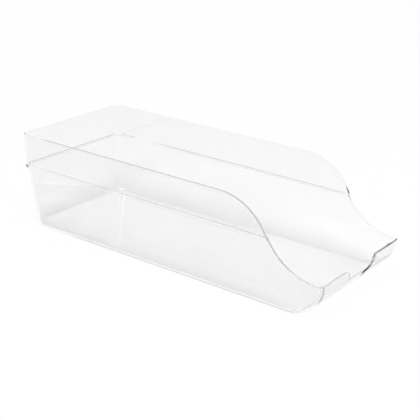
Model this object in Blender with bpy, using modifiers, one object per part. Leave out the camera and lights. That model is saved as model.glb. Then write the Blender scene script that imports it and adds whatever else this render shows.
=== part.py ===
"""A can organizer: one clear moulded tray that holds drink cans lying in a row in a refrigerator.

The tray is open at the top. Its front wall is a low curved lip with a finger notch, and each side
wall drops to that lip along an S made of two arcs. A narrow ledge runs round the sides and back,
and the collar above it stands out from the body below.

Lengths are in metres. X runs across the tray, the lip faces -Y, the back wall faces +Y and +Z is up.
The origin is the middle of the underside.
"""

import math
from itertools import pairwise

import bmesh
import bpy

MM = 0.001

# Overall size, over the rim at the back and over the lip at the front
WIDTH = 146 * MM
LENGTH = 352 * MM
HEIGHT = 96.0 * MM

# The moulding's wall and the outer radius of the edge round its floor
WALL = 2.4 * MM
FLOOR_RADIUS = 3.9 * MM

# The outer radii of the upright corners. The body's back corners open out by the flare toward the floor
COLLAR_CORNER_RADIUS = 9.3 * MM
BODY_CORNER_RADIUS = 10.0 * MM
BODY_CORNER_FLARE = 6.5 * MM
FRONT_CORNER_RADIUS = 5.0 * MM

# The ledge and the collar above it
LEDGE_HEIGHT = 61.9 * MM
LEDGE_DEPTH = 1.5 * MM
COLLAR_SIDE_DRAFT = 0.6 * MM
COLLAR_BACK_DRAFT = 1.0 * MM
BODY_SIDE_DRAFT = 1.4 * MM
BODY_BACK_DRAFT = 6.4 * MM

# The front, whose inner face curves up round a can 66 mm across
LIP_HEIGHT = 33.2 * MM
FRONT_RADIUS = 34.0 * MM

# The S along the top of each side wall, from the lip up to the rim
S_LOWER_RADIUS = 60.0 * MM
S_UPPER_RADIUS = 55.5 * MM
S_SETBACK = 4.4 * MM

# The finger notch in the lip
NOTCH_HEIGHT = 13.2 * MM
NOTCH_MOUTH_WIDTH = 50.0 * MM
NOTCH_FLOOR_WIDTH = 27.0 * MM
NOTCH_FLOOR_RADIUS = 12.0 * MM
NOTCH_SHOULDER_RADIUS = 4.7 * MM

# How far the cutters run past the wall that they cut
OVERRUN = 10.0 * MM

# Two rings of the skin lie at least this far apart in height
RING_SPACING = 0.15 * MM

# Faces on the curves
CORNER_STEPS = 8
FLOOR_STEPS = 4
FRONT_STEPS = 14
S_STEPS = 24
NOTCH_STEPS = 8

# Edges that turn by more than this are drawn sharp
SHARP_TURN = math.radians(30)

CLEAR_PLASTIC_COLOUR = (0.93, 0.94, 0.94, 1.0)
CLEAR_PLASTIC_ROUGHNESS = 0.04
CLEAR_PLASTIC_IOR = 1.57


def clear_scene():
    """Removes every object of the scene."""
    for obj in list(bpy.data.objects):
        bpy.data.objects.remove(obj, do_unlink=True)


def new_collection(name):
    """A new collection in the scene."""
    collection = bpy.data.collections.new(name)
    bpy.context.scene.collection.children.link(collection)
    return collection


def clear_plastic():
    """The moulding's material: clear, hard and glossy."""
    material = bpy.data.materials.new("clear_plastic")
    material.use_nodes = True
    shader = material.node_tree.nodes["Principled BSDF"]
    shader.inputs["Base Color"].default_value = CLEAR_PLASTIC_COLOUR
    shader.inputs["Metallic"].default_value = 0.0
    shader.inputs["Roughness"].default_value = CLEAR_PLASTIC_ROUGHNESS
    shader.inputs["IOR"].default_value = CLEAR_PLASTIC_IOR
    shader.inputs["Transmission Weight"].default_value = 1.0
    return material


def arc(centre, radius, start, end, steps):
    """Points of an arc in a plane, from one angle to another, both ends included."""
    angles = (start + (end - start) * step / steps for step in range(steps + 1))
    return [(centre[0] + radius * math.cos(a), centre[1] + radius * math.sin(a)) for a in angles]


def inset_of_arc(height, radius):
    """How far a face that curves under by this radius lies behind its upright part at a height."""
    if height >= radius:
        return 0.0
    return radius - math.sqrt(radius**2 - (radius - height) ** 2)


def body_side(height):
    """X of the outer face of a side wall below the ledge."""
    top = WIDTH / 2 - COLLAR_SIDE_DRAFT - LEDGE_DEPTH
    return top - BODY_SIDE_DRAFT * (1 - height / LEDGE_HEIGHT) - inset_of_arc(height, FLOOR_RADIUS)


def body_back(height):
    """Y of the outer face of the back wall below the ledge."""
    top = LENGTH / 2 - COLLAR_BACK_DRAFT - LEDGE_DEPTH
    return top - BODY_BACK_DRAFT * (1 - height / LEDGE_HEIGHT) - inset_of_arc(height, FLOOR_RADIUS)


def body_front(height):
    """Y of the outer face of the front wall, which curves up from the floor to the lip."""
    return -LENGTH / 2 + inset_of_arc(height, FRONT_RADIUS)


def body_ring(height):
    """The body's outer face at a height, from the floor up to the ledge."""
    under = inset_of_arc(height, FLOOR_RADIUS)
    back_radius = BODY_CORNER_RADIUS + BODY_CORNER_FLARE * (1 - height / LEDGE_HEIGHT) - under
    front_radius = FRONT_CORNER_RADIUS - under
    return ring(body_side(height), body_front(height), body_back(height), front_radius, back_radius, height)


def collar_ring(height):
    """The collar's outer face at a height. The S and the rim cut away its front and its top."""
    below_rim = (HEIGHT - height) / (HEIGHT - LEDGE_HEIGHT)
    side = WIDTH / 2 - COLLAR_SIDE_DRAFT * below_rim
    back = LENGTH / 2 - COLLAR_BACK_DRAFT * below_rim
    front = -LENGTH / 2 - COLLAR_SIDE_DRAFT * (1 - below_rim) - LEDGE_DEPTH
    return ring(side, front, back, FRONT_CORNER_RADIUS, COLLAR_CORNER_RADIUS, height)


def ring(side, front, back, front_radius, back_radius, height):
    """A rounded rectangle at a height, anticlockwise from above."""
    corners = (
        (side - back_radius, back - back_radius, back_radius, 0.0),
        (back_radius - side, back - back_radius, back_radius, math.pi / 2),
        (front_radius - side, front + front_radius, front_radius, math.pi),
        (side - front_radius, front + front_radius, front_radius, math.pi * 3 / 2),
    )
    points = []
    for x, y, radius, start in corners:
        points += arc((x, y), radius, start, start + math.pi / 2, CORNER_STEPS)
    return [(x, y, height) for x, y in points]


def body_heights():
    """Heights of the body's rings: close together where the floor's edge and the front curve up."""
    fillet = (FLOOR_RADIUS * (1 - math.cos(math.pi / 2 * n / FLOOR_STEPS)) for n in range(FLOOR_STEPS + 1))
    front = (FRONT_RADIUS * (1 - math.cos(math.pi / 2 * n / FRONT_STEPS)) for n in range(FRONT_STEPS + 1))
    kept = []
    for height in sorted([*fillet, *front, LEDGE_HEIGHT]):
        if not kept or height - kept[-1] > RING_SPACING:
            kept.append(height)
    return kept


def outer_rings():
    """The rounded rectangles that the tray's outer face passes through, from the floor up."""
    rings = [body_ring(height) for height in body_heights()]
    rings.append(collar_ring(LEDGE_HEIGHT))
    rings.append(collar_ring(HEIGHT + WALL))
    return rings


def lofted_skin(name, rings):
    """An open skin with a floor at the first ring and a wall through the others."""
    mesh = bmesh.new()
    loops = [[mesh.verts.new(point) for point in points] for points in rings]
    mesh.faces.new(reversed(loops[0]))
    for lower, upper in pairwise(loops):
        for n in range(len(lower)):
            after = (n + 1) % len(lower)
            mesh.faces.new((lower[n], lower[after], upper[after], upper[n]))
    data = bpy.data.meshes.new(name)
    mesh.to_mesh(data)
    mesh.free()
    return data


def prism(name, outline, direction, start, end, collection):
    """A cutter: a flat outline carried along X or Y from start to end."""
    mesh = bmesh.new()
    if direction == "X":
        points = [(start, a, b) for a, b in outline]
        travel = (end - start, 0.0, 0.0)
    else:
        points = [(a, start, b) for a, b in outline]
        travel = (0.0, end - start, 0.0)
    face = mesh.faces.new([mesh.verts.new(point) for point in points])
    made = bmesh.ops.extrude_face_region(mesh, geom=[face])
    moved = [item for item in made["geom"] if isinstance(item, bmesh.types.BMVert)]
    bmesh.ops.translate(mesh, verts=moved, vec=travel)
    bmesh.ops.recalc_face_normals(mesh, faces=mesh.faces)
    data = bpy.data.meshes.new(name)
    mesh.to_mesh(data)
    mesh.free()
    cutter = bpy.data.objects.new(name, data)
    cutter.hide_render = True
    cutter.display_type = "WIRE"
    collection.objects.link(cutter)
    return cutter


def s_outline():
    """The space over the lip, the S and the rim, as (y, z). The S is two arcs in one smooth curve."""
    rise = HEIGHT - LIP_HEIGHT
    both = S_LOWER_RADIUS + S_UPPER_RADIUS
    turn = math.acos(1 - rise / both)
    low = -LENGTH / 2 + S_SETBACK
    high = low + both * math.sin(turn)
    down = -math.pi / 2
    up = math.pi / 2
    lower = arc((low, LIP_HEIGHT + S_LOWER_RADIUS), S_LOWER_RADIUS, down, down + turn, S_STEPS)
    upper = arc((high, HEIGHT - S_UPPER_RADIUS), S_UPPER_RADIUS, up + turn, up, S_STEPS)
    before = -LENGTH / 2 - OVERRUN
    behind = LENGTH / 2 + OVERRUN
    above = HEIGHT + OVERRUN
    return [(before, LIP_HEIGHT), *lower, *upper[1:], (behind, HEIGHT), (behind, above), (before, above)]


def rounded_corner(before, corner, after, radius, steps):
    """The arc of this radius that rounds a corner between two straight lines."""
    angles = []
    for end in (before, after):
        angles.append(math.atan2(end[1] - corner[1], end[0] - corner[0]))
    inside = (angles[1] - angles[0] + math.pi) % (2 * math.pi) - math.pi
    middle = angles[0] + inside / 2
    reach = radius / math.sin(abs(inside) / 2)
    centre = (corner[0] + reach * math.cos(middle), corner[1] + reach * math.sin(middle))
    start = angles[0] - math.copysign(math.pi / 2, inside)
    return arc(centre, radius, start, start - math.copysign(math.pi - abs(inside), inside), steps)


def notch_outline():
    """The notch, as (x, z): a flat floor, sloping sides and rounded shoulders that meet the lip."""
    mouth = NOTCH_MOUTH_WIDTH / 2
    floor = NOTCH_FLOOR_WIDTH / 2
    shoulder = (mouth, LIP_HEIGHT)
    foot = (floor, NOTCH_HEIGHT)
    right = [
        *rounded_corner((0.0, NOTCH_HEIGHT), foot, shoulder, NOTCH_FLOOR_RADIUS, NOTCH_STEPS),
        *rounded_corner(foot, shoulder, (WIDTH, LIP_HEIGHT), NOTCH_SHOULDER_RADIUS, NOTCH_STEPS),
    ]
    right.append((right[-1][0], LIP_HEIGHT + OVERRUN))
    left = [(-x, z) for x, z in reversed(right)]
    return right + left


def cut(obj, cutter):
    """Cuts another object's shape out of an object."""
    modifier = obj.modifiers.new(cutter.name, "BOOLEAN")
    modifier.operation = "DIFFERENCE"
    modifier.solver = "EXACT"
    modifier.object = cutter


def build_tray(parts, cutters):
    """The tray: the outer skin thickened inwards, then cut along the S and the rim, and at the notch."""
    tray = bpy.data.objects.new("tray", lofted_skin("tray", outer_rings()))
    parts.objects.link(tray)
    tray.data.materials.append(clear_plastic())

    shell = tray.modifiers.new("wall", "SOLIDIFY")
    shell.thickness = WALL
    shell.offset = -1.0
    shell.use_even_offset = True
    shell.use_quality_normals = True

    reach = WIDTH / 2 + OVERRUN
    cut(tray, prism("side_cutter", s_outline(), "X", -reach, reach, cutters))
    before = -LENGTH / 2 - OVERRUN
    cut(tray, prism("notch_cutter", notch_outline(), "Y", before, body_front(0.0), cutters))

    tray.data.shade_smooth()
    tray.data.set_sharp_from_angle(angle=SHARP_TURN)
    return tray


def main():
    """Builds the organizer in its own collection, and its cutters in another."""
    clear_scene()
    build_tray(new_collection("can_organizer"), new_collection("cutters"))


main()
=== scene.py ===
"""The looks of a can organizer: one clear moulded tray on a white table, in soft studio light.

The tray is modelled again here with fine curves and rounded edges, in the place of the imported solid,
and gets its clear plastic. Lengths are in metres. X runs across the tray, the lip faces -Y and +Z is up.
"""

from __future__ import annotations

import logging
import math
from collections.abc import Callable, Iterable, Sequence
from dataclasses import dataclass, replace
from enum import Enum
from itertools import pairwise
from typing import TypeVar

import bmesh
import bpy
from mathutils import Matrix, Vector

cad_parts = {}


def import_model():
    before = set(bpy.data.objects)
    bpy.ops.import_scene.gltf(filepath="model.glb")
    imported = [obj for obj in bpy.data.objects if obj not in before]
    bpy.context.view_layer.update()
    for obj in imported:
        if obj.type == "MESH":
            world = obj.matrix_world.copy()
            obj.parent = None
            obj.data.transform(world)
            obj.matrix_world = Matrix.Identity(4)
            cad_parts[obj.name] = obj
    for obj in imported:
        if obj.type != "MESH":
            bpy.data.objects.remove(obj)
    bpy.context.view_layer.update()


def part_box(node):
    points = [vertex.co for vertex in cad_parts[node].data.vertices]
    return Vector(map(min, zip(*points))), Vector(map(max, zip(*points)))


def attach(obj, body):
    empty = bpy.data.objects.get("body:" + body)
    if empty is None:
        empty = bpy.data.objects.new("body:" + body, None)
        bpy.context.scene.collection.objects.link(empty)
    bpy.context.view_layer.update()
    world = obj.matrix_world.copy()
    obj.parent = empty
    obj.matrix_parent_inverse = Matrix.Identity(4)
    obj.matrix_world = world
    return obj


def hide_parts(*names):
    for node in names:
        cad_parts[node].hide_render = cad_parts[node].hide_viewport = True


LOG = logging.getLogger("can_organizer")

MM = 0.001
NODE = "tray"
BODY = "root"

# Edges that turn by more than this are corners and not parts of a curve
SHARP_TURN = math.radians(40)

BLACK = (0.0, 0.0, 0.0, 1.0)
WHITE = (1.0, 1.0, 1.0, 1.0)

# A path's depths are whole numbers, so this tells one bounce or more from none
ANY_BOUNCE = 0.5

Outline = list[tuple[float, float]]
Element = TypeVar("Element")


class Axis(Enum):
    """The direction that an outline runs along. Its value is the index of that coordinate."""

    X = 0
    Y = 1


class Link:
    """One output socket in shader maths. Its operators add Math nodes to the graph."""

    def __init__(self, graph: Graph, socket: bpy.types.NodeSocket) -> None:
        """Wraps an output socket of a graph."""
        self.graph = graph
        self.socket = socket

    def _math(self, operation: str, first: Link | float, second: Link | float) -> Link:
        """One Math node on two values."""
        return self.graph.add("ShaderNodeMath", {"operation": operation}, {0: first, 1: second})

    def __add__(self, other: Link | float) -> Link:
        """Sum."""
        return self._math("ADD", self, other)

    def __sub__(self, other: Link | float) -> Link:
        """Difference."""
        return self._math("SUBTRACT", self, other)

    def __rsub__(self, other: float) -> Link:
        """Difference, from a number."""
        return self._math("SUBTRACT", other, self)

    def __mul__(self, other: Link | float) -> Link:
        """Product."""
        return self._math("MULTIPLY", self, other)

    def highest(self, other: Link | float) -> Link:
        """The larger of two values."""
        return self._math("MAXIMUM", self, other)

    def above(self, level: float) -> Link:
        """One where the value is over a level, and zero elsewhere."""
        return self._math("GREATER_THAN", self, level)

    def ramp(self, start: float, end: float) -> Link:
        """Rises from zero at the start value to one at the end value, which may be the lower of the two."""
        return self.graph.add("ShaderNodeMapRange", inputs={0: self, 1: start, 2: end})

    def fade(self, start: Link | float, end: Link | float) -> Link:
        """Goes from the first level to the second as this mask goes from zero to one."""
        return (1 - self) * start + self * end

    __radd__ = __add__
    __rmul__ = __mul__


class Graph:
    """A material's or world's node tree, which starts empty."""

    def __init__(self, tree: bpy.types.NodeTree) -> None:
        """Empties a node tree and takes it over."""
        self.tree = tree
        tree.nodes.clear()

    def add(
        self,
        kind: str,
        settings: dict[str, object] | None = None,
        inputs: dict[int | str, object] | None = None,
        output: int | str = 0,
    ) -> Link:
        """Adds any node.

        Args:
            kind: The node's type.
            settings: Its own properties, which are set first.
            inputs: A value or a link for each input socket, by name or index.
            output: The output socket to return.

        Returns:
            The chosen output of the new node.
        """
        node = self.tree.nodes.new(kind)
        for name, value in (settings or {}).items():
            setattr(node, name, value)
        for name, value in (inputs or {}).items():
            if isinstance(value, Link):
                self.tree.links.new(value.socket, node.inputs[name])
            else:
                node.inputs[name].default_value = value
        return Link(self, node.outputs[output])

    def finish(self, kind: str, inputs: dict[int | str, Link]) -> None:
        """Adds the output node, which has no output of its own."""
        node = self.tree.nodes.new(kind)
        for name, link in inputs.items():
            self.tree.links.new(link.socket, node.inputs[name])


@dataclass(frozen=True)
class Band:
    """A stretch of one coordinate over which a mask goes from zero to one."""

    start: float
    end: float

    def mask(self, value: Link) -> Link:
        """The mask of this stretch on a coordinate."""
        return value.ramp(self.start, self.end)


@dataclass(frozen=True)
class PaintedLightAndShade:
    """Painted light and shade: a glow from black to white that stands in for what runs on inside the walls
    after its first few reflections.

    Such light takes more reflections to leave the plastic than a render follows. Each stretch of the
    tray gives off a level instead, from zero to one, and a mask fades each level into the next. The
    levels are set against the photograph, whose camera stands on the -X side. So near means -X
    and far means +X, and the two sides differ.
    """

    # Painted glow levels: zero paints a black line of shade, as at the ledge and the far foot, and one
    # paints a white glow. The near and far levels differ, so each side's shade is painted for one view.
    near_level: float = 0.6
    far_level: float = 0.95
    ledge_level: float = 0.0
    rear_ledge_level: float = 0.2
    rear_corner_level: float = 0.9
    near_lip_level: float = 0.52
    far_lip_level: float = 0.2
    near_corner_level: float = 0.75
    near_foot_level: float = 1.0
    far_foot_level: float = 0.0

    # A path keeps two reflections in the near wall, and one fewer elsewhere, before the painted light and
    # shade take over
    reflections_kept: float = 2.5

    across: Band = Band(-50 * MM, 50 * MM)
    rear: Band = Band(150 * MM, 156 * MM)
    clear_of_rear: Band = Band(125 * MM, 105 * MM)
    behind_s: Band = Band(-116 * MM, -108 * MM)
    front: Band = Band(-125 * MM, -135 * MM)
    over_ledge: Band = Band(66 * MM, 72 * MM)
    under_collar: Band = Band(66 * MM, 62 * MM)
    over_body: Band = Band(40 * MM, 46 * MM)
    lip: Band = Band(34 * MM, 30 * MM)
    foot: Band = Band(18 * MM, 12 * MM)
    far_foot: Band = Band(60 * MM, 64 * MM)
    clear_of_near_corner: Band = Band(-64 * MM, -55 * MM)
    near_corner: Band = Band(-58 * MM, -62 * MM)
    near_wall: Band = Band(-64 * MM, -66 * MM)
    between_walls: Band = Band(67.5 * MM, 66.5 * MM)

    def level(self, x: Link, y: Link, z: Link) -> Link:
        """How bright the painted light is at a place, from zero, a painted black shade, to one, a painted
        white glow.
        """
        far = self.across.mask(x)
        rear = self.rear.mask(y)
        low = self.foot.mask(z)
        ledge = self.under_collar.mask(z) * self.over_body.mask(z) * self.behind_s.mask(y)
        low_front = self.lip.mask(z) * self.front.mask(y)
        rear_corner = self.near_corner.mask(x) * rear * (1 - low)
        off_middle = x.highest(0 - x)
        lip = far.fade(self.near_lip_level, self.far_lip_level)
        corner = far.fade(self.near_corner_level, self.far_level)
        foot = self.far_foot.mask(x).fade(self.near_foot_level, self.far_foot_level)
        level = far.fade(self.near_level, self.far_level)
        level = (rear * self.over_ledge.mask(z)).fade(level, self.far_level)
        # Painted dark lines of shade along the ledge, on the far side and at the rear
        level = (ledge * self.clear_of_rear.mask(y) * far).fade(level, self.ledge_level)
        level = (ledge * rear * self.clear_of_near_corner.mask(x)).fade(level, self.rear_ledge_level)
        level = low_front.fade(level, self.between_walls.mask(off_middle).fade(corner, lip))
        # Painted glow on the near foot and painted dark shade on the far foot
        level = low.fade(level, foot)
        return rear_corner.fade(level, self.rear_corner_level)

    def mixed_into(self, graph: Graph, place: Link, surface: Link) -> Link:
        """Puts the painted light and shade in place of a surface on paths that have been reflected often.

        Args:
            graph: The material's graph.
            place: The place on the tray.
            surface: The shader that light meets before that.

        Returns:
            The mixed shader.
        """
        x, y, z = (graph.add("ShaderNodeSeparateXYZ", inputs={0: place}, output=axis) for axis in "XYZ")
        # A black and a white emission: the painted shade and the painted glow that the levels mix
        dark = graph.add("ShaderNodeEmission", inputs={"Color": BLACK, "Strength": 1.0})
        bright = graph.add("ShaderNodeEmission", inputs={"Color": WHITE, "Strength": 1.0})
        light = graph.add("ShaderNodeMixShader", inputs={0: self.level(x, y, z), 1: dark, 2: bright})
        reflected = graph.add("ShaderNodeLightPath", output="Glossy Depth")
        near_wall = self.near_wall.mask(x) * (1 - self.lip.mask(z))
        late = (reflected + (1 - near_wall)).above(self.reflections_kept)
        return graph.add("ShaderNodeMixShader", inputs={0: late, 1: surface, 2: light})


@dataclass(frozen=True)
class ClearPlastic:
    """The tray's plastic: clear, hard and glossy, with the faint waves of a moulded sheet."""

    colour: tuple[float, float, float, float] = (0.96, 0.96, 0.96, 1.0)
    refraction: float = 1.57
    roughness: float = 0.01
    wave_scale: float = 22.0
    wave_height: float = 0.05 * MM
    depth_colour: tuple[float, float, float, float] = (0.80, 0.82, 0.82, 1.0)
    depth_density: float = 8.0
    painted_light_and_shade: PaintedLightAndShade = PaintedLightAndShade()

    def material(self) -> bpy.types.Material:
        """Builds the material. A lamp's light passes it, but for the share that its surface reflects.

        Returns:
            A Principled material with an absorbing volume behind its surface.
        """
        made = bpy.data.materials.new("clear_plastic")
        made.use_nodes = True
        graph = Graph(made.node_tree)
        place = graph.add("ShaderNodeTexCoord", output="Object")
        wave = graph.add(
            "ShaderNodeTexNoise", inputs={"Vector": place, "Scale": self.wave_scale, "Detail": 1.0}
        )
        bump = graph.add(
            "ShaderNodeBump", inputs={"Height": wave, "Distance": self.wave_height, "Strength": 1.0}
        )
        surface = graph.add(
            "ShaderNodeBsdfPrincipled",
            inputs={
                "Base Color": self.colour,
                "Roughness": self.roughness,
                "IOR": self.refraction,
                "Transmission Weight": 1.0,
                "Normal": bump,
            },
        )
        # Painted light and shade take the surface's place on paths that have been reflected often
        surface = self.painted_light_and_shade.mixed_into(graph, place, surface)
        passing = graph.add("ShaderNodeBsdfTransparent")
        to_lamp = graph.add("ShaderNodeLightPath", output="Is Shadow Ray")
        mirrored = graph.add("ShaderNodeFresnel", inputs={"IOR": self.refraction})
        passes = to_lamp * (1 - mirrored)
        surface = graph.add("ShaderNodeMixShader", inputs={0: passes, 1: surface, 2: passing})
        depth = graph.add(
            "ShaderNodeVolumeAbsorption", inputs={"Color": self.depth_colour, "Density": self.depth_density}
        )
        graph.finish("ShaderNodeOutputMaterial", {"Surface": surface, "Volume": depth})
        return made


@dataclass(frozen=True)
class Section:
    """A level cut through the tray's outer face: a rectangle with rounded corners."""

    height: float
    side: float
    front: float
    back: float
    front_radius: float
    back_radius: float

    def radius(self, along: int) -> float:
        """The radius of the two corners at the back, for a plus sign, or of those at the front."""
        return self.back_radius if along > 0 else self.front_radius

    def centre(self, across: int, along: int) -> Vector:
        """The centre of one corner's arc. The signs of X and Y pick the corner."""
        radius = self.radius(along)
        y = self.back - radius if along > 0 else self.front + radius
        return Vector(((self.side - radius) * across, y, self.height))


def inset_of_arc(height: float, radius: float) -> float:
    """How far a face that curves under by this radius lies behind its upright part at a height."""
    if height >= radius:
        return 0.0
    return radius - math.sqrt(radius**2 - (radius - height) ** 2)


def arc(centre: tuple[float, float], radius: float, start: float, end: float, steps: int) -> Outline:
    """Points of an arc in a plane, from one angle to another, both ends included."""
    angles = (start + (end - start) * step / steps for step in range(steps + 1))
    return [(centre[0] + radius * math.cos(a), centre[1] + radius * math.sin(a)) for a in angles]


def rounded_corner(before: Vector, corner: Vector, after: Vector, radius: float, steps: int) -> Outline:
    """The arc that rounds the corner between two straight lines.

    Args:
        before: A point on the first line.
        corner: Where the lines meet.
        after: A point on the second line.
        radius: The arc's radius.
        steps: How many pieces the arc has.

    Returns:
        The arc's points, from the first line to the second.
    """
    toward = (before - corner).normalized()
    away = (after - corner).normalized()
    inside = toward.angle(away)
    centre = corner + (toward + away).normalized() * radius / math.sin(inside / 2)
    turn = math.pi - inside
    if toward.cross(away) > 0:
        turn = -turn
    start_point = corner + toward * radius / math.tan(inside / 2)
    start = math.atan2(start_point.y - centre.y, start_point.x - centre.x)
    return arc((centre.x, centre.y), radius, start, start + turn, steps)


@dataclass
class Tray:
    """The whole organizer: floor, walls, ledge, collar, curved front and notched lip, in one moulding."""

    width: float
    length: float
    height: float

    wall: float = 2.4 * MM
    floor_radius: float = 3.9 * MM
    collar_corner_radius: float = 9.3 * MM
    body_corner_radius: float = 10.0 * MM
    body_corner_flare: float = 6.5 * MM
    front_corner_radius: float = 5.0 * MM

    ledge_height: float = 61.9 * MM
    ledge_depth: float = 1.5 * MM
    collar_side_draft: float = 0.6 * MM
    collar_back_draft: float = 1.0 * MM
    body_side_draft: float = 1.4 * MM
    body_back_draft: float = 6.4 * MM

    lip_height: float = 33.2 * MM
    front_radius: float = 34.0 * MM
    s_lower_radius: float = 60.0 * MM
    s_upper_radius: float = 55.5 * MM
    s_setback: float = 4.4 * MM

    notch_height: float = 13.2 * MM
    notch_mouth_width: float = 50.0 * MM
    notch_floor_width: float = 27.0 * MM
    notch_floor_radius: float = 12.0 * MM
    notch_shoulder_radius: float = 4.7 * MM

    ledge_rounding: float = 0.15 * MM
    rim_rounding: float = 0.7 * MM

    corner_steps: int = 14
    floor_steps: int = 8
    front_steps: int = 28
    s_steps: int = 30
    notch_steps: int = 9
    ledge_steps: int = 2
    rim_steps: int = 3

    overrun: float = 10.0 * MM
    ring_spacing: float = 0.25 * MM
    station_gap: float = 1.0 * MM
    below_lip: float = 2.5 * MM

    # The merge leaves the same faces at 0.24 and at 0.26 mm, so rounding errors don't decide it
    merge_distance: float = 0.25 * MM

    @classmethod
    def in_frame(cls) -> Tray:
        """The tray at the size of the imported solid, whose back wall is half a length from the middle."""
        low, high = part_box(NODE)
        return cls(width=high.x - low.x, length=2 * high.y, height=high.z)

    def body_section(self, height: float) -> Section:
        """The outer face below the ledge, at a height."""
        up = 1 - height / self.ledge_height
        under = inset_of_arc(height, self.floor_radius)
        side = self.width / 2 - self.collar_side_draft - self.ledge_depth - self.body_side_draft * up - under
        back = self.length / 2 - self.collar_back_draft - self.ledge_depth
        back = back - self.body_back_draft * up - under
        front = -self.length / 2 + inset_of_arc(height, self.front_radius)
        back_radius = self.body_corner_radius + self.body_corner_flare * up - under
        return Section(height, side, front, back, self.front_corner_radius - under, back_radius)

    def collar_section(self, height: float) -> Section:
        """The outer face above the ledge, at a height. What stands over the lip is cut away later."""
        below_rim = (self.height - height) / (self.height - self.ledge_height)
        side = self.width / 2 - self.collar_side_draft * below_rim
        back = self.length / 2 - self.collar_back_draft * below_rim
        front = -self.length / 2 - self.collar_side_draft * (1 - below_rim) - self.ledge_depth
        return Section(height, side, front, back, self.front_corner_radius, self.collar_corner_radius)

    def sections(self) -> list[Section]:
        """The level cuts that the outer face passes through, from the floor up."""
        quarter = math.pi / 2
        fillet = (
            self.floor_radius * (1 - math.cos(quarter * step / self.floor_steps))
            for step in range(self.floor_steps + 1)
        )
        front = (
            self.front_radius * (1 - math.cos(quarter * step / self.front_steps))
            for step in range(self.front_steps)
        )
        heights: list[float] = []
        for height in sorted([*fillet, *front]):
            clear_of_lip = height < self.lip_height - self.below_lip
            if clear_of_lip and (not heights or height - heights[-1] > self.ring_spacing):
                heights.append(height)
        cuts = [self.body_section(height) for height in [*heights, self.ledge_height]]
        cuts.append(self.collar_section(self.ledge_height))
        cuts.append(self.collar_section(self.height + self.wall))
        return cuts

    @staticmethod
    def fit_ring(
        mesh: bmesh.types.BMesh, ring: list[bmesh.types.BMVert], drawn: Section, cut: Section
    ) -> None:
        """Moves a ring from one section to another, corner by corner.

        Args:
            mesh: The mesh that holds the ring.
            ring: The ring's vertices, all of which lie on the corners' arcs.
            drawn: The section that the ring has.
            cut: The section that it gets.
        """
        middle = (drawn.front + drawn.back) / 2
        for across in (-1, 1):
            for along in (-1, 1):
                corner = [v for v in ring if v.co.x * across > 0 and (v.co.y - middle) * along > 0]
                was = drawn.centre(across, along)
                growth = cut.radius(along) / drawn.radius(along)
                stretch = Vector((growth, growth, 1.0))
                bmesh.ops.scale(mesh, verts=corner, vec=stretch, space=Matrix.Translation(-was))
                bmesh.ops.translate(mesh, verts=corner, vec=cut.centre(across, along) - was)

    def draw_skin(self, mesh: bmesh.types.BMesh) -> None:
        """Draws the floor as a rounded rectangle and pulls its edge up through the other sections."""
        floor, *higher = self.sections()
        bmesh.ops.create_grid(mesh, x_segments=1, y_segments=1, size=1.0)
        spread = Vector((floor.side, (floor.back - floor.front) / 2, 1.0))
        bmesh.ops.scale(mesh, verts=mesh.verts, vec=spread)
        bmesh.ops.translate(mesh, verts=mesh.verts, vec=(0.0, (floor.back + floor.front) / 2, floor.height))
        bevel(mesh, mesh.verts[:], floor.front_radius, self.corner_steps, affect="VERTICES")
        drawn = replace(floor, back_radius=floor.front_radius)
        self.fit_ring(mesh, mesh.verts[:], drawn, floor)
        drawn = floor
        edges = [edge for edge in mesh.edges if edge.is_boundary]
        for cut in higher:
            made = bmesh.ops.extrude_edge_only(mesh, edges=edges)["geom"]
            ring = [item for item in made if isinstance(item, bmesh.types.BMVert)]
            edges = [item for item in made if isinstance(item, bmesh.types.BMEdge) and item.is_boundary]
            self.fit_ring(mesh, ring, drawn, cut)
            drawn = cut
        bmesh.ops.recalc_face_normals(mesh, faces=mesh.faces[:])

    def round_ledge(self, mesh: bmesh.types.BMesh) -> None:
        """Rounds the four edges of the ledge, two on its outside and two on its inside."""
        low = self.ledge_height - self.ledge_rounding
        high = self.ledge_height + self.wall + self.ledge_rounding
        edges = [
            edge
            for edge in mesh.edges
            if all(low < vert.co.z < high for vert in edge.verts) and edge.calc_face_angle(0.0) > SHARP_TURN
        ]
        bevel(mesh, edges, self.ledge_rounding, self.ledge_steps)

    def side_outline(self) -> Outline:
        """The top of the tray from the side, as (y, z): the lip, the S of two arcs and the rim.

        A point of the S lies on each side of the ledge, so that no cut passes close beside it.
        """
        under, over = self.s_lower_radius, self.s_upper_radius
        turn = math.acos(1 - (self.height - self.lip_height) / (under + over))
        low = -self.length / 2 + self.s_setback
        high = low + (under + over) * math.sin(turn)
        quarter = math.pi / 2
        lower = arc((low, self.lip_height + under), under, -quarter, turn - quarter, self.s_steps)
        upper = arc((high, self.height - over), over, turn + quarter, quarter, self.s_steps)
        corner_end = -self.length / 2 + self.front_corner_radius
        curve = [point for point in [*lower, *upper[1:]] if point[0] > corner_end + self.station_gap]
        for level in (self.ledge_height, self.ledge_height + self.wall):
            nearest = min(range(len(curve)), key=lambda n: abs(curve[n][1] - level))
            if level < lower[-1][1]:
                place = low + math.sqrt(under**2 - (under - level + self.lip_height) ** 2)
            else:
                place = high - math.sqrt(over**2 - (over - self.height + level) ** 2)
            curve[nearest] = (place, level)
        before = (-self.length / 2 - self.overrun, self.lip_height)
        behind = (self.length / 2 + self.overrun, self.height)
        return [before, (corner_end, self.lip_height), *curve, behind]

    def notch_outline(self) -> Outline:
        """The finger notch from the front, as (x, z): a flat floor, sloping sides and round shoulders."""
        middle = Vector((0.0, self.notch_height))
        foot = Vector((self.notch_floor_width / 2, self.notch_height))
        shoulder = Vector((self.notch_mouth_width / 2, self.lip_height))
        beside = Vector((self.width / 2, self.lip_height))
        right = [
            *rounded_corner(middle, foot, shoulder, self.notch_floor_radius, self.notch_steps),
            *rounded_corner(foot, shoulder, beside, self.notch_shoulder_radius, self.notch_steps),
        ]
        left = [(-x, z) for x, z in reversed(right)]
        return left + right

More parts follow.
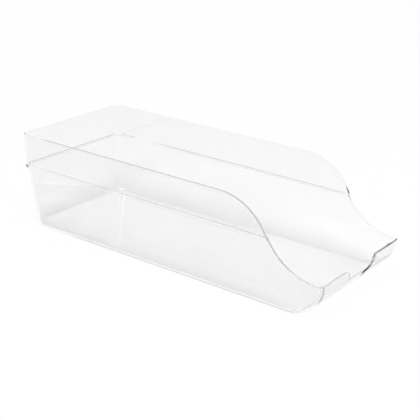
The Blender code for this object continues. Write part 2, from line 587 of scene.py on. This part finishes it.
    def trim(
        self,
        mesh: bmesh.types.BMesh,
        outline: Outline,
        axis: Axis,
        reaches: Callable[[bmesh.types.BMFace], bool],
    ) -> None:
        """Cuts away what stands over an outline, in upright strips.

        Args:
            mesh: The mesh to cut.
            outline: Points (place along the axis, height), from low place to high.
            axis: The axis that the outline runs along.
            reaches: Tells whether the cut reaches a face.
        """
        toward = Vector((1.0, 0.0, 0.0)) if axis is Axis.X else Vector((0.0, 1.0, 0.0))
        upward = Vector((0.0, 0.0, 1.0))
        for place, _ in outline:
            faces = [face for face in mesh.faces if reaches(face)]
            split(mesh, faces, toward * place, toward)
        strips = list(pairwise(outline))
        for (start, low), (end, high) in strips:
            faces = [face for face in self.between(mesh.faces, axis, start, end) if reaches(face)]
            run = toward * (end - start) + upward * (high - low)
            across = toward.cross(upward)
            split(mesh, faces, toward * start + upward * low, across.cross(run).normalized())
        over = []
        for (start, low), (end, high) in strips:
            for face in self.between(mesh.faces, axis, start, end):
                middle = face.calc_center_median()
                share = (middle[axis.value] - start) / (end - start)
                if reaches(face) and middle.z > low + (high - low) * share:
                    over.append(face)
        bmesh.ops.delete(mesh, geom=over, context="FACES")

    @staticmethod
    def between(
        faces: Iterable[bmesh.types.BMFace], axis: Axis, start: float, end: float
    ) -> list[bmesh.types.BMFace]:
        """The faces whose middle lies between two places along an axis."""
        return [face for face in faces if start < face.calc_center_median()[axis.value] < end]

    def build(self) -> bpy.types.Object:
        """Models the tray.

        Returns:
            The tray's object, at the origin.
        """
        mesh = bmesh.new()
        self.draw_skin(mesh)
        bmesh.ops.solidify(mesh, geom=mesh.faces[:], thickness=self.wall)
        self.round_ledge(mesh)
        wall_foot = self.lip_height - self.below_lip * 2
        self.trim(
            mesh, self.side_outline(), Axis.Y, lambda face: max(v.co.z for v in face.verts) > wall_foot
        )
        front_end = -self.length / 2 + self.front_radius
        self.trim(mesh, self.notch_outline(), Axis.X, lambda face: face.calc_center_median().y < front_end)
        rim_verts = unique(vert for edge in mesh.edges if edge.is_boundary for vert in edge.verts)
        beside_rim = unique(vert for start in rim_verts for edge in start.link_edges for vert in edge.verts)
        bmesh.ops.remove_doubles(mesh, verts=beside_rim, dist=self.merge_distance)
        rim = [edge for edge in mesh.edges if edge.is_boundary]
        bmesh.ops.bridge_loops(mesh, edges=rim)
        bevel(mesh, rim, self.rim_rounding, self.rim_steps)
        for face in mesh.faces:
            face.smooth = True
        data = bpy.data.meshes.new("clear_tray")
        mesh.to_mesh(data)
        mesh.free()
        tray = bpy.data.objects.new("clear_tray", data)
        bpy.context.scene.collection.objects.link(tray)
        shading = tray.modifiers.new("flat_walls", "WEIGHTED_NORMAL")
        shading.weight = 100
        return tray

    def place(self, finish: ClearPlastic) -> bpy.types.Object:
        """Builds the tray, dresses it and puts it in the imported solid's place.

        Args:
            finish: The plastic that it is moulded from.

        Returns:
            The finished piece.
        """
        tray = self.build()
        tray.data.materials.append(finish.material())
        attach(tray, BODY)
        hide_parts(NODE)
        LOG.info("%s: %d faces", tray.name, len(tray.data.polygons))
        return tray


def bevel(
    mesh: bmesh.types.BMesh,
    geometry: Sequence[bmesh.types.BMEdge] | Sequence[bmesh.types.BMVert],
    width: float,
    steps: int,
    affect: str = "EDGES",
) -> None:
    """Rounds edges or corners.

    Args:
        mesh: The mesh that holds them.
        geometry: The edges or vertices to round.
        width: How far from the edge the rounding starts.
        steps: How many faces it has across.
        affect: EDGES or VERTICES.
    """
    bmesh.ops.bevel(
        mesh,
        geom=list(geometry),
        offset=width,
        offset_type="OFFSET",
        segments=steps,
        profile=0.5,
        affect=affect,
        material=-1,
        clamp_overlap=True,
    )


def unique(items: Iterable[Element]) -> list[Element]:
    """The items without repeats, in their own order, which a set wouldn't keep from run to run."""
    return list(dict.fromkeys(items))


def direction_from(azimuth: float, elevation: float) -> Vector:
    """The direction from the tray to a viewpoint. Azimuth 0 is in front of the lip."""
    level = math.cos(elevation)
    return Vector((math.sin(azimuth) * level, -math.cos(azimuth) * level, math.sin(elevation)))


def split(
    mesh: bmesh.types.BMesh, faces: Sequence[bmesh.types.BMFace], point: Vector, normal: Vector
) -> None:
    """Splits some faces along a plane and keeps both sides."""
    edges = unique(edge for face in faces for edge in face.edges)
    verts = unique(vert for face in faces for vert in face.verts)
    bmesh.ops.bisect_plane(
        mesh, geom=[*verts, *edges, *faces], dist=0.001 * MM, plane_co=point, plane_no=normal
    )


@dataclass(frozen=True)
class Lamp:
    """A square lamp that faces the tray: the direction it hangs in, its side, and its power in watts."""

    name: str
    azimuth: float
    elevation: float
    size: float
    power: float

    def hang(self, distance: float) -> None:
        """Hangs the lamp at a distance from the tray."""
        data = bpy.data.lights.new(self.name, "AREA")
        data.size = self.size
        data.energy = self.power
        lamp = bpy.data.objects.new(self.name, data)
        lamp.location = direction_from(self.azimuth, self.elevation) * distance
        lamp.rotation_euler = (-lamp.location).to_track_quat("-Z", "Y").to_euler()
        bpy.context.scene.collection.objects.link(lamp)


@dataclass
class Studio:
    """The white table, the white room round it and the lamps."""

    floor_size: float = 12.0
    floor_gap: float = 0.3 * MM
    floor_colour: tuple[float, float, float, float] = (0.9, 0.9, 0.9, 1.0)
    shading_seen: float = 0.05
    shading_through: float = 0.5
    room_on_floor: float = 0.7
    mirrored_horizon: float = 1.0
    mirrored_ceiling: float = 0.8
    lamp_distance: float = 1.5
    lamps: tuple[Lamp, ...] = (
        Lamp("top_lamp", math.radians(-70), math.radians(80), 0.5, 6.0),
        Lamp("left_lamp", math.radians(-84), math.radians(36), 0.3, 4.0),
        Lamp("front_lamp", math.radians(-29), math.radians(36), 0.3, 4.0),
    )

    def build(self) -> None:
        """Builds the floor, the world and the lamps."""
        self.floor()
        self.room()
        for lamp in self.lamps:
            lamp.hang(self.lamp_distance)

    def floor(self) -> None:
        """Lays the floor just under the tray. It looks white, with a share of its real shading."""
        mesh = bmesh.new()
        bmesh.ops.create_grid(mesh, x_segments=1, y_segments=1, size=self.floor_size / 2)
        bmesh.ops.translate(mesh, verts=mesh.verts, vec=(0.0, 0.0, -self.floor_gap))
        data = bpy.data.meshes.new("floor")
        mesh.to_mesh(data)
        mesh.free()
        floor = bpy.data.objects.new("floor", data)
        bpy.context.scene.collection.objects.link(floor)
        made = bpy.data.materials.new("white_table")
        made.use_nodes = True
        graph = Graph(made.node_tree)
        matt = graph.add("ShaderNodeBsdfDiffuse", inputs={"Color": self.floor_colour})
        white = graph.add("ShaderNodeEmission", inputs={"Color": WHITE, "Strength": 1.0})
        direct = graph.add("ShaderNodeLightPath", output="Is Camera Ray")
        reflected, diffused = self.bounces(graph)
        shading = direct.fade(self.shading_through, self.shading_seen)
        seen = (1 - reflected.highest(diffused)) * (1 - shading)
        seen = seen.highest(reflected * (1 - diffused))
        surface = graph.add("ShaderNodeMixShader", inputs={0: seen, 1: matt, 2: white})
        graph.finish("ShaderNodeOutputMaterial", {"Surface": surface})
        data.materials.append(made)

    def room(self) -> None:
        """Makes the world white where it is seen, and a plain soft room everywhere else."""
        world = bpy.data.worlds.new("white_room")
        world.use_nodes = True
        bpy.context.scene.world = world
        graph = Graph(world.node_tree)
        direction = graph.add("ShaderNodeTexCoord", output="Generated")
        upward = graph.add("ShaderNodeSeparateXYZ", inputs={0: direction}, output="Z")
        mirrored = upward.ramp(0.0, 1.0).fade(self.mirrored_horizon, self.mirrored_ceiling)
        reflected, diffused = self.bounces(graph)
        strength = diffused.fade(reflected.fade(1.0, mirrored), self.room_on_floor)
        back = graph.add("ShaderNodeBackground", inputs={"Color": WHITE, "Strength": strength})
        graph.finish("ShaderNodeOutputWorld", {"Surface": back})

    @staticmethod
    def bounces(graph: Graph) -> tuple[Link, Link]:
        """Whether a path has been mirrored, and whether a matt surface has scattered it."""
        reflected = graph.add("ShaderNodeLightPath", output="Glossy Depth")
        diffused = graph.add("ShaderNodeLightPath", output="Diffuse Depth")
        return reflected.above(ANY_BOUNCE), diffused.above(ANY_BOUNCE)


@dataclass
class Viewpoint:
    """The camera that took the photograph, fitted to the tray's edges."""

    azimuth: float = math.radians(-54.08)
    elevation: float = math.radians(21.58)
    roll: float = math.radians(1.76)
    distance: float = 948.6 * MM
    target: tuple[float, float, float] = (-21.4 * MM, -23.2 * MM, 50.0 * MM)
    lens: float = 86.34

    def build(self) -> bpy.types.Object:
        """Sets up the camera.

        Returns:
            The camera's object.
        """
        back = direction_from(self.azimuth, self.elevation)
        data = bpy.data.cameras.new("camera")
        data.lens = self.lens
        camera = bpy.data.objects.new("camera", data)
        camera.location = Vector(self.target) + back * self.distance
        turned = (-back).to_track_quat("-Z", "Y").to_matrix() @ Matrix.Rotation(self.roll, 3, "Z")
        camera.rotation_euler = turned.to_euler()
        bpy.context.scene.collection.objects.link(camera)
        bpy.context.scene.camera = camera
        return camera


def main() -> None:
    """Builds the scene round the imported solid."""
    logging.basicConfig(level=logging.INFO, format="%(name)s: %(message)s")
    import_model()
    Viewpoint().build()
    Studio().build()
    Tray.in_frame().place(ClearPlastic())
    bpy.context.scene.view_settings.view_transform = "Standard"


if __name__ == "__main__":
    main()
